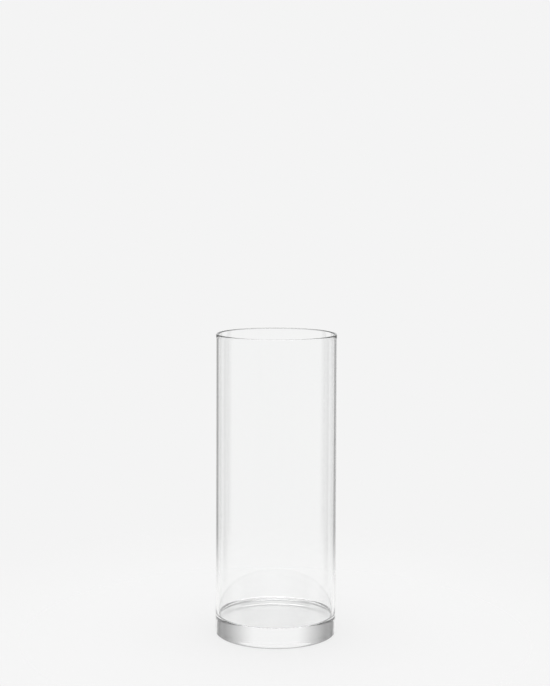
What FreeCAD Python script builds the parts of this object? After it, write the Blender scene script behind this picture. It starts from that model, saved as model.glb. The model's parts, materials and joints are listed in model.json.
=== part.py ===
"""Glass cylinder vase: one piece of blown glass, a straight round wall on a thick solid base.

Millimetres, +Z up. The origin is on the vase's axis, in the plane that the foot ring stands on.
"""
import FreeCAD, Part
import math
import os

import Sketcher

NODE = "glass_vase"
# Two lengths closer than this are the same length, and a cut takes away more than this volume.
SAME_LENGTH = 0.001
LEAST_CUT = 1

# Driving dimensions and what each one is. Every feature below is bound to these cells.
DIMENSIONS = {
    "height": (500, "foot ring to rim"),
    "outer_diameter": (200, "the straight outside wall"),
    "wall_thickness": (5, "the same from the floor to the rim"),
    "base_thickness": (32, "solid glass from the foot ring's plane to the floor"),
    "floor_fillet": (3, "the wall's inside turning into the floor"),
    "heel_fillet": (3, "the wall's outside turning under to the foot ring"),
    "foot_ring_width": (16, "flat ground ring that the vase stands on"),
    "punt_depth": (0.6, "very shallow hollow under the base, deepest on the axis"),
    "rim_fillet": (1.5, "each edge of the rim, polished round with a flat land left between"),
}


def fill_sheet(doc):
    """The spreadsheet of driving dimensions: name, value and meaning, with the name as alias."""
    sheet = doc.addObject("Spreadsheet::Sheet", "sizes")
    for row, (name, (value, meaning)) in enumerate(DIMENSIONS.items(), start=1):
        sheet.set(f"A{row}", name)
        sheet.set(f"B{row}", str(value))
        sheet.set(f"C{row}", meaning)
        sheet.setAlias(f"B{row}", name)
    doc.recompute()
    return sheet


def sketch_on(body, name, plane_role):
    """A sketch on one of the body's own origin planes."""
    plane = next(p for p in body.Origin.OriginFeatures if p.Role == plane_role)
    sketch = body.newObject("Sketcher::SketchObject", name)
    sketch.AttachmentSupport = [(plane, "")]
    sketch.MapMode = "FlatFace"
    return sketch


def centred_circle(sketch, diameter, expression):
    """A circle on the sketch's origin, drawn at a diameter that an expression then drives."""
    origin, upright = FreeCAD.Vector(), FreeCAD.Vector(0, 0, 1)
    circle = sketch.addGeometry(Part.Circle(origin, upright, diameter / 2))
    sketch.addConstraint(Sketcher.Constraint("Coincident", circle, 3, -1, 1))
    size = sketch.addConstraint(Sketcher.Constraint("Diameter", circle, diameter))
    sketch.setExpression(f"Constraints[{size}]", expression)


def add_gather(body, sheet):
    """The solid round block of glass, as tall and as wide as the finished vase."""
    sketch = sketch_on(body, "outside_circle", "XY_Plane")
    centred_circle(sketch, sheet.outer_diameter, "sizes.outer_diameter")
    pad = body.newObject("PartDesign::Pad", "gather")
    pad.Profile = sketch
    pad.setExpression("Length", "sizes.height")
    return pad


def cut_interior(body, sheet):
    """The straight round hollow, cut down from the rim to the floor."""
    sketch = sketch_on(body, "inside_circle", "XY_Plane")
    sketch.setExpression("AttachmentOffset.Base.z", "sizes.height")
    inner_diameter = sheet.outer_diameter - 2 * sheet.wall_thickness
    centred_circle(sketch, inner_diameter, "sizes.outer_diameter - 2 * sizes.wall_thickness")
    pocket = body.newObject("PartDesign::Pocket", "interior")
    pocket.Profile = sketch
    pocket.setExpression("Length", "sizes.height - sizes.base_thickness")
    return pocket


def cut_punt(body, sheet):
    """The shallow dome under the base: an arc over a straight line, turned about the axis."""
    sketch = sketch_on(body, "punt_section", "XZ_Plane")
    depth = sheet.punt_depth
    reach = sheet.outer_diameter / 2 - sheet.heel_fillet - sheet.foot_ring_width
    centre, apex, edge = FreeCAD.Vector(), FreeCAD.Vector(0, depth, 0), FreeCAD.Vector(reach, 0, 0)
    # So shallow an arc is three quarters of its full depth half way out.
    half_way = FreeCAD.Vector(reach / 2, 0.75 * depth, 0)
    axis_line = sketch.addGeometry(Part.LineSegment(centre, apex))
    dome = sketch.addGeometry(Part.Arc(apex, half_way, edge))
    floor_line = sketch.addGeometry(Part.LineSegment(edge, centre))
    # The sketch keeps an arc anticlockwise, so the dome starts at the edge and ends at the apex.
    dome_start, dome_end, dome_centre = 1, 2, 3
    sketch.addConstraint(Sketcher.Constraint("Coincident", axis_line, 1, -1, 1))
    sketch.addConstraint(Sketcher.Constraint("Coincident", floor_line, 2, -1, 1))
    sketch.addConstraint(Sketcher.Constraint("Coincident", dome, dome_end, axis_line, 2))
    sketch.addConstraint(Sketcher.Constraint("Coincident", dome, dome_start, floor_line, 1))
    sketch.addConstraint(Sketcher.Constraint("Horizontal", floor_line))
    sketch.addConstraint(Sketcher.Constraint("Vertical", axis_line))
    sketch.addConstraint(Sketcher.Constraint("PointOnObject", dome, dome_centre, -2))
    rise = sketch.addConstraint(Sketcher.Constraint("DistanceY", axis_line, 1, axis_line, 2, depth))
    run = sketch.addConstraint(Sketcher.Constraint("DistanceX", floor_line, 2, floor_line, 1, reach))
    sketch.setExpression(f"Constraints[{rise}]", "sizes.punt_depth")
    ring_inside = "sizes.outer_diameter / 2 - sizes.heel_fillet - sizes.foot_ring_width"
    sketch.setExpression(f"Constraints[{run}]", ring_inside)
    groove = body.newObject("PartDesign::Groove", "punt")
    groove.Profile = sketch
    groove.ReferenceAxis = (sketch, ["V_Axis"])
    groove.Angle = 360
    return groove


def ring_edge(shape, radius, level):
    """The name of the whole circular edge with this radius at this height."""
    for number, edge in enumerate(shape.Edges, start=1):
        # The dome's top is a point, which the shape keeps as an edge with no curve.
        if edge.Degenerated or not isinstance(edge.Curve, Part.Circle):
            continue
        off_radius = abs(edge.Curve.Radius - radius)
        off_level = abs(edge.Curve.Center.z - level)
        if math.hypot(off_radius, off_level) < SAME_LENGTH:
            return f"Edge{number}"
    raise ValueError(f"no edge of radius {radius} at height {level}")


def round_edge(body, base, name, radius, level, fillet):
    """A fillet round one circular edge of the feature before it."""
    feature = body.newObject("PartDesign::Fillet", name)
    feature.Base = (base, [ring_edge(base.Shape, radius, level)])
    feature.setExpression("Radius", f"sizes.{fillet}")
    body.Document.recompute()
    return feature


def add_fillets(body, sheet, base):
    """The floor's corner, the heel and the rim are round: fire and the polishing wheel leave none sharp."""
    outside = sheet.outer_diameter / 2
    inside = outside - sheet.wall_thickness
    rings = (
        ("floor_corner", inside, sheet.base_thickness, "floor_fillet"),
        ("heel", outside, 0, "heel_fillet"),
        ("rim_outside", outside, sheet.height, "rim_fillet"),
        ("rim_inside", inside, sheet.height, "rim_fillet"),
    )
    for name, radius, level, fillet in rings:
        base = round_edge(body, base, name, radius, level, fillet)
    return base


def require_cut(feature, base):
    """A pocket or groove that misses the solid changes nothing, so its volume is compared."""
    if base.Shape.Volume - feature.Shape.Volume < LEAST_CUT:
        raise RuntimeError(f"{feature.Name} removes no glass")


def require_sound(doc, body):
    """No object of the document has failed, and the vase is one valid closed solid."""
    for item in doc.Objects:
        if {"Invalid", "Error"} & set(item.State):
            raise RuntimeError(f"{item.Name} is {item.State}")
    shape = body.Shape
    if shape.isNull() or not shape.isValid() or len(shape.Solids) != 1:
        raise RuntimeError(f"{body.Label} is not one valid solid")


def main():
    doc = FreeCAD.newDocument("glass_cylinder_vase")
    sheet = fill_sheet(doc)
    body = doc.addObject("PartDesign::Body", NODE)
    body.Label = NODE
    body.Placement = FreeCAD.Placement()
    gather = add_gather(body, sheet)
    doc.recompute()
    interior = cut_interior(body, sheet)
    doc.recompute()
    require_cut(interior, gather)
    punt = cut_punt(body, sheet)
    doc.recompute()
    require_cut(punt, interior)
    body.Tip = add_fillets(body, sheet, punt)
    doc.recompute()
    require_sound(doc, body)
    box = body.Shape.optimalBoundingBox()
    print(f"{NODE}: {box.XLength:.1f} x {box.YLength:.1f} x {box.ZLength:.1f} mm, "
          f"{body.Shape.Volume / 1000:.0f} cm3 of glass")
    os.makedirs("parts", exist_ok=True)
    body.Shape.exportStep(f"parts/{NODE}.step")


main()
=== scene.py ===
"""Glass cylinder vase: the looks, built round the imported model. Metres, +Z up."""

import json
import math

import bmesh
import bpy
import numpy as np
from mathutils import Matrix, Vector, noise


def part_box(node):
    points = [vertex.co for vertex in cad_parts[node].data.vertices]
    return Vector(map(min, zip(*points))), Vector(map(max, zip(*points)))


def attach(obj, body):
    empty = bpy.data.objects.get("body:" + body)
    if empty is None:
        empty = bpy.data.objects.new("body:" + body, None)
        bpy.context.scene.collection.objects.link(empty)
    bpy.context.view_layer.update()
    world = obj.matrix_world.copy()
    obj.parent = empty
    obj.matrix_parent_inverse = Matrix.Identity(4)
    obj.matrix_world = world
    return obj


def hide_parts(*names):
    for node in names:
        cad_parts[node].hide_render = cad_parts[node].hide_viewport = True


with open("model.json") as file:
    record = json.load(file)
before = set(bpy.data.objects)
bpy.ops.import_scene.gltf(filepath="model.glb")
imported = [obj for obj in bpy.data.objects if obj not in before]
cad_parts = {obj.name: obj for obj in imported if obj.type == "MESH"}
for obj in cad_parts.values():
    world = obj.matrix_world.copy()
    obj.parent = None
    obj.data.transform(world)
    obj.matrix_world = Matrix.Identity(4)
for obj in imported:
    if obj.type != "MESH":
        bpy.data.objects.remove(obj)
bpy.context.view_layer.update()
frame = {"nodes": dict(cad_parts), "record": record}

BODY = "root"
NODE = "glass_vase"
# A length too small to see, which puts a point that lies on a limit clearly on one side of it.
HAIR = 1e-6

# ---------------------------------------------------------------- sizes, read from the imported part
cad_vase = frame["nodes"][NODE]
MOUNTS = {mount["name"]: mount for mount in frame["record"]["mounts"]}
LOWEST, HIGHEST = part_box(NODE)
HEIGHT = HIGHEST[2] - LOWEST[2]
OUTER_RADIUS = HIGHEST[0]
INNER_RADIUS = MOUNTS["interior"]["dims"]["r_mm"] / 1000
WALL = OUTER_RADIUS - INNER_RADIUS
BORE_TOP = MOUNTS["interior"]["pos_m"][2]
BORE_BOTTOM = BORE_TOP - MOUNTS["interior"]["dims"]["length_mm"] / 1000


def cad_level(start, direction):
    """The height at which a line beside the vase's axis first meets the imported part."""
    hit, place, _normal, _face = cad_vase.ray_cast(start, direction)
    if not hit:
        raise ValueError("the line beside the axis misses the vase")
    return place.z


BESIDE_AXIS = 0.002
FLOOR_LEVEL = cad_level((BESIDE_AXIS, BESIDE_AXIS, 2 * HEIGHT), (0, 0, -1))
PUNT_DEPTH = cad_level((BESIDE_AXIS, BESIDE_AXIS, -HEIGHT), (0, 0, 1))
FLOOR_FILLET = BORE_BOTTOM - FLOOR_LEVEL
RIM_FILLET = HEIGHT - BORE_TOP
HEEL_SHARE_OF_WALL = 0.6
HEEL_FILLET = HEEL_SHARE_OF_WALL * WALL
RING_OUTSIDE = OUTER_RADIUS - HEEL_FILLET
RING_INSIDE = 2 * MOUNTS["base_rest"]["pos_m"][0] - RING_OUTSIDE

# ---------------------------------------------------------------- the vase's mesh
# Steps round the axis, and along each stretch of the section.
AROUND = 288
WALL_STEPS = 72
PUNT_STEPS, FOOT_STEPS, HEEL_STEPS = 24, 4, 12
RIM_STEPS, LAND_STEPS = 8, 2
CORNER_STEPS, FLOOR_STEPS = 14, 20
# How far at most the glass waves out of true, and how close the waves are across the vase and upwards.
WAVES_INSIDE, WAVES_OUTSIDE = 0.00012, 0.00003
WAVES_ACROSS, WAVES_UP = 1.3, 5.0
# The inside has waves of its own, from another place in the noise, and they fade towards the axis.
WAVES_APART = 7.0
WAVES_FADE = 8


def arc(centre_r, centre_z, radius, start_deg, end_deg, steps):
    """Points (r, z) along an arc, both ends included."""
    angles = np.radians(np.linspace(start_deg, end_deg, steps + 1))
    return [(centre_r + radius * math.cos(a), centre_z + radius * math.sin(a)) for a in angles]


def straight(start, end, steps):
    """This many points (r, z) along a straight line, without its ends."""
    shares = np.linspace(0, 1, steps + 2)[1:-1]
    return [(start[0] + s * (end[0] - start[0]), start[1] + s * (end[1] - start[1])) for s in shares]


def punt_height(r):
    """The height of the shallow spherical hollow under the base at radius r."""
    sphere = (RING_INSIDE**2 + PUNT_DEPTH**2) / (2 * PUNT_DEPTH)
    return math.sqrt(sphere**2 - r**2) - (sphere - PUNT_DEPTH)


def section():
    """Half the vase's section as (r, z), from the punt's top round the outside to the floor's middle."""
    punt = [(r, punt_height(r)) for r in np.linspace(0, RING_INSIDE, PUNT_STEPS + 1)]
    heel = arc(RING_OUTSIDE, HEEL_FILLET, HEEL_FILLET, -90, 0, HEEL_STEPS)
    rim_outside = arc(OUTER_RADIUS - RIM_FILLET, BORE_TOP, RIM_FILLET, 0, 90, RIM_STEPS)
    rim_inside = arc(INNER_RADIUS + RIM_FILLET, BORE_TOP, RIM_FILLET, 90, 180, RIM_STEPS)
    corner = arc(INNER_RADIUS - FLOOR_FILLET, BORE_BOTTOM, FLOOR_FILLET, 0, -90, CORNER_STEPS)
    middle = (0.0, FLOOR_LEVEL)
    points = punt + straight(punt[-1], heel[0], FOOT_STEPS) + heel
    points += straight(heel[-1], rim_outside[0], WALL_STEPS) + rim_outside
    points += straight(rim_outside[-1], rim_inside[0], LAND_STEPS) + rim_inside
    points += straight(rim_inside[-1], corner[0], WALL_STEPS) + corner
    points += straight(corner[-1], middle, FLOOR_STEPS) + [middle]
    return points


def wave(r, z, angle):
    """How far the glass leaves the true round: slow waves, hardly any outside and more inside."""
    inside = r < INNER_RADIUS + WALL / 2 and z > FLOOR_LEVEL / 2
    depth, apart = (WAVES_INSIDE, WAVES_APART) if inside else (WAVES_OUTSIDE, 0.0)
    fade = min(1.0, r / INNER_RADIUS) ** WAVES_FADE
    place = (WAVES_ACROSS * math.cos(angle), WAVES_ACROSS * math.sin(angle), WAVES_UP * z + apart)
    return fade * depth * noise.noise(Vector(place))


# The heel is ground rough, and the same share also paints shade on it: dark grey mixed in for the dark line
# along the foot.
def heel_ground_and_painted_shade(r, z):
    """How far down the heel a point is: 1 beside the foot ring, 0 from the wall up and on the ring."""
    return float(r > RING_OUTSIDE + HAIR) * max(0.0, 1 - z / HEEL_FILLET)


# Painted shade: where a grey line is mixed into the glass along the rim's inner half, standing in for the
# dark line the rim shows.
def rim_lip_painted_shade(r, z):
    """1 on the inner half of the rim: its rounded inner edge and half the flat land, 0 elsewhere."""
    return float(z > BORE_TOP + HAIR and r < INNER_RADIUS + WALL / 2)


def ring_of_points(r, z):
    """One turn of the section's point (r, z) about the axis, with the glass's waves."""
    angles = [2 * math.pi * step / AROUND for step in range(AROUND)]
    radii = [r + wave(r, z, angle) for angle in angles]
    return [(radius * math.cos(a), radius * math.sin(a), z) for radius, a in zip(radii, angles)]


def make_vase():
    """The vase as one closed mesh of revolution that carries the skin values of its material."""
    points = section()
    body = points[1:-1]
    vertices = [(0.0, 0.0, points[0][1])]
    for r, z in body:
        vertices += ring_of_points(r, z)
    vertices.append((0.0, 0.0, points[-1][1]))
    last = len(vertices) - 1
    top_row = 1 + (len(body) - 1) * AROUND
    faces = []
    for step in range(AROUND):
        beside = (step + 1) % AROUND
        faces.append((0, 1 + beside, 1 + step))
        for row in range(1, top_row, AROUND):
            above = row + AROUND
            faces.append((row + step, row + beside, above + beside, above + step))
        faces.append((top_row + step, top_row + beside, last))
    mesh = bpy.data.meshes.new("blown_vase")
    mesh.from_pydata(vertices, [], faces)
    mesh.shade_smooth()
    for rule in (heel_ground_and_painted_shade, rim_lip_painted_shade):
        rings = [rule(r, z) for r, z in body for _step in range(AROUND)]
        values = mesh.attributes.new(rule.__name__, "FLOAT", "POINT").data
        values.foreach_set("value", [0.0] + rings + [0.0])
    vase = bpy.data.objects.new("blown_vase", mesh)
    bpy.context.collection.objects.link(vase)
    return vase


# ---------------------------------------------------------------- shader nodes
def node(tree, kind, **settings):
    """A new shader node with its properties set."""
    made = tree.nodes.new(kind)
    for name, value in settings.items():
        setattr(made, name, value)
    return made


def plug(tree, socket, value):
    """Gives an input its value: another node's output, a number or a colour."""
    if isinstance(value, bpy.types.NodeSocket):
        tree.links.new(value, socket)
    else:
        socket.default_value = value


def skin_value(tree, rule):
    """The value that a mesh rule gave each point: the heel's share, ground and painted shade, or the rim's
    painted shade.
    """
    return node(tree, "ShaderNodeAttribute", attribute_name=rule.__name__).outputs["Fac"]


def arithmetic(tree, operation, first, second):
    """One Math node on two values."""
    made = node(tree, "ShaderNodeMath", operation=operation)
    plug(tree, made.inputs[0], first)
    plug(tree, made.inputs[1], second)
    return made.outputs["Value"]


def ramp(tree, value, stops):
    """A grey ramp on value: stops are (position, grey), in rising order."""
    made = node(tree, "ShaderNodeValToRGB")
    elements = made.color_ramp.elements
    while len(elements) < len(stops):
        elements.new(1.0)
    for element, (position, grey) in zip(elements, stops):
        element.position = position
        element.color = (grey, grey, grey, 1.0)
    tree.links.new(value, made.inputs["Fac"])
    return made.outputs["Color"]


def share_between(tree, value, low, high):
    """A share that goes smoothly from 0 where value is low to 1 where it is high."""
    made = node(tree, "ShaderNodeMapRange", interpolation_type="SMOOTHSTEP")
    made.inputs["From Min"].default_value = low
    made.inputs["From Max"].default_value = high
    tree.links.new(value, made.inputs["Value"])
    return made.outputs["Result"]


def blend_greys(tree, share, first, second):
    """A colour mix from first to second, each another node's output or a plain grey."""
    made = node(tree, "ShaderNodeMix", data_type="RGBA")
    plug(tree, made.inputs[0], share)
    for socket, value in ((made.inputs[6], first), (made.inputs[7], second)):
        plug(tree, socket, (value, value, value, 1.0) if isinstance(value, float) else value)
    return made.outputs[2]


def component(tree, vector, axis):
    """The X, Y or Z of a vector."""
    made = node(tree, "ShaderNodeSeparateXYZ")
    tree.links.new(vector, made.inputs["Vector"])
    return made.outputs[axis]


def blend_shaders(tree, share, first, second):
    """The material's surface: a mix from the first shader to the second."""
    made = node(tree, "ShaderNodeMixShader")
    tree.links.new(share, made.inputs["Fac"])
    tree.links.new(first.outputs["BSDF"], made.inputs[1])
    tree.links.new(second.outputs["BSDF"], made.inputs[2])
    tree.links.new(made.outputs["Shader"], tree.nodes["Material Output"].inputs["Surface"])


# ---------------------------------------------------------------- glass
REFRACTION = 1.52
GLASS_TINT = (0.995, 0.997, 0.996, 1.0)
# Painted shade: a dark grey diffuse mixed into the glass on the heel and on the rim's inner half, and how
# much of it each gets.
PAINTED_SHADE_GREY = (0.06, 0.065, 0.065, 1.0)
HEEL_PAINTED_SHADE, HEEL_ROUGHNESS = 0.65, 0.3
RIM_PAINTED_SHADE = 0.35


def glass_material():
    """Clear glass, its heel ground rough, with painted shade: dark grey mixed in on the heel and on the
    inner edge of its rim.
    """
    material = bpy.data.materials.new("clear_glass")
    material.use_nodes = True
    tree = material.node_tree
    glass = tree.nodes["Principled BSDF"]
    glass.inputs["IOR"].default_value = REFRACTION
    glass.inputs["Transmission Weight"].default_value = 1.0
    glass.inputs["Base Color"].default_value = GLASS_TINT
    heel = skin_value(tree, heel_ground_and_painted_shade)
    tree.links.new(arithmetic(tree, "MULTIPLY", heel, HEEL_ROUGHNESS), glass.inputs["Roughness"])
    # Painted shade on the heel and the rim's lip, mixed over the glass as a dark grey diffuse.
    painted_heel_shade = arithmetic(tree, "MULTIPLY", heel, HEEL_PAINTED_SHADE)
    painted_lip_shade = arithmetic(tree, "MULTIPLY", skin_value(tree, rim_lip_painted_shade), RIM_PAINTED_SHADE)
    painted_shade_share = arithmetic(tree, "MAXIMUM", painted_heel_shade, painted_lip_shade)
    painted_shade = node(tree, "ShaderNodeBsdfDiffuse")
    painted_shade.inputs["Color"].default_value = PAINTED_SHADE_GREY
    blend_shaders(tree, painted_shade_share, glass, painted_shade)
    return material


# ---------------------------------------------------------------- stage
BACKDROP = 0.905
FLOOR_REACH, FLOOR_FADES_FROM = 0.8, 0.25
FLOOR_GLOW, FLOOR_GREY = 0.74, 0.10
FLOOR_SEGMENTS = 96
# The floor lies this far under the foot ring, so that no face of one lies in a face of the other.
FLOOR_DROP = 0.0003
# Brightness above the horizon, by the degrees away from the line through the front and the back.
PANELS = (
    (90, BACKDROP), (78, BACKDROP), (72, 0.05), (64, 0.03), (54, 0.24), (47, 0.27),
    (38, 0.42), (32, 0.54), (26, 0.66), (21.5, 0.78), (15, BACKDROP))
# Brightness below the horizon, by the degrees away from straight behind: four dark flags, two on each
# side, with the backdrop between them. There are none in front.
FLAGS = (
    (90, BACKDROP), (76, BACKDROP), (70, 0.3), (60, 0.03), (56, BACKDROP), (34, BACKDROP),
    (30, 0.35), (17, 0.35), (13, BACKDROP))
DIM_BAND, SOFTBOX = 0.2, 4.2
# Where the flags begin, and over them the panels, a dim band and the softbox: sines of the angle above
# the horizon.
FLAGS_RISE = (-0.50, -0.38)
PANELS_RISE = (-0.02, 0.12)
DIM_BAND_RISE = (0.40, 0.50)
SOFTBOX_RISE = (0.68, 0.86)
BOUNCES = 32


def make_floor():
    """A plain pale light table that melts into the backdrop away from the vase."""
    mesh = bpy.data.meshes.new("floor")
    disc = bmesh.new()
    bmesh.ops.create_circle(disc, cap_ends=True, radius=FLOOR_REACH, segments=FLOOR_SEGMENTS)
    disc.to_mesh(mesh)
    disc.free()
    floor = bpy.data.objects.new("floor", mesh)
    floor.location.z = LOWEST[2] - FLOOR_DROP
    bpy.context.collection.objects.link(floor)
    floor.data.materials.append(floor_material())


def floor_material():
    """Matt acrylic lit from below and above, fading to nothing towards its edge."""
    material = bpy.data.materials.new("light_table")
    material.use_nodes = True
    tree = material.node_tree
    acrylic = tree.nodes["Principled BSDF"]
    acrylic.inputs["Base Color"].default_value = (FLOOR_GREY, FLOOR_GREY, FLOOR_GREY, 1.0)
    acrylic.inputs["Roughness"].default_value = 0.9
    acrylic.inputs["Specular IOR Level"].default_value = 0.0
    acrylic.inputs["Emission Color"].default_value = (1.0, 1.0, 1.0, 1.0)
    acrylic.inputs["Emission Strength"].default_value = FLOOR_GLOW
    where = node(tree, "ShaderNodeTexCoord")
    away = node(tree, "ShaderNodeVectorMath", operation="LENGTH")
    tree.links.new(where.outputs["Object"], away.inputs[0])
    fade = share_between(tree, away.outputs["Value"], FLOOR_FADES_FROM, FLOOR_REACH)
    blend_shaders(tree, fade, acrylic, node(tree, "ShaderNodeBsdfTransparent"))
    return material


def round_horizon(tree, cosine, lights):
    """The grey of the lights that stand round the horizon, from the cosine of their degrees."""
    return ramp(tree, cosine, [(math.cos(math.radians(degrees)), grey) for degrees, grey in lights])


def make_world():
    """Soft studio light: a bright surround with dim corners, dark flags low behind, and a softbox on top."""
    world = bpy.data.worlds.new("studio")
    world.use_nodes = True
    bpy.context.scene.world = world
    tree = world.node_tree
    direction = node(tree, "ShaderNodeTexCoord").outputs["Generated"]
    flat = node(tree, "ShaderNodeVectorMath", operation="MULTIPLY")
    flat.inputs[1].default_value = (1.0, 1.0, 0.0)
    tree.links.new(direction, flat.inputs[0])
    level = node(tree, "ShaderNodeVectorMath", operation="NORMALIZE")
    tree.links.new(flat.outputs["Vector"], level.inputs[0])
    behind = component(tree, level.outputs["Vector"], "Y")
    either_way = node(tree, "ShaderNodeMath", operation="ABSOLUTE")
    tree.links.new(behind, either_way.inputs[0])
    flags = round_horizon(tree, behind, FLAGS)
    panels = round_horizon(tree, either_way.outputs["Value"], PANELS)
    up = component(tree, direction, "Z")
    light = blend_greys(tree, share_between(tree, up, *FLAGS_RISE), BACKDROP, flags)
    light = blend_greys(tree, share_between(tree, up, *PANELS_RISE), light, panels)
    light = blend_greys(tree, share_between(tree, up, *DIM_BAND_RISE), light, DIM_BAND)
    light = blend_greys(tree, share_between(tree, up, *SOFTBOX_RISE), light, SOFTBOX)
    tree.links.new(light, tree.nodes["Background"].inputs["Color"])


def make_camera():
    """A long lens above the rim, looking slightly down, with a slight roll."""
    beside, distance, height, target = -0.003, 2.50, 0.757, 0.598
    roll = math.radians(0.24)
    data = bpy.data.cameras.new("camera")
    data.lens = 79.7
    data.shift_y = -0.10
    camera = bpy.data.objects.new("camera", data)
    camera.location = (beside, -distance, height)
    aim = Vector((beside, 0.0, target)) - camera.location
    camera.rotation_euler = aim.to_track_quat("-Z", "Y").to_euler()
    camera.rotation_euler.rotate_axis("Z", roll)
    bpy.context.collection.objects.link(camera)
    bpy.context.scene.camera = camera


# ---------------------------------------------------------------- putting it together
make_camera()
make_world()
make_floor()
scene = bpy.context.scene
scene.view_settings.view_transform = "Standard"
scene.cycles.max_bounces = BOUNCES
scene.cycles.transmission_bounces = BOUNCES
scene.cycles.glossy_bounces = BOUNCES

vase = make_vase()
vase.data.materials.append(glass_material())
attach(vase, BODY)
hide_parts(NODE)
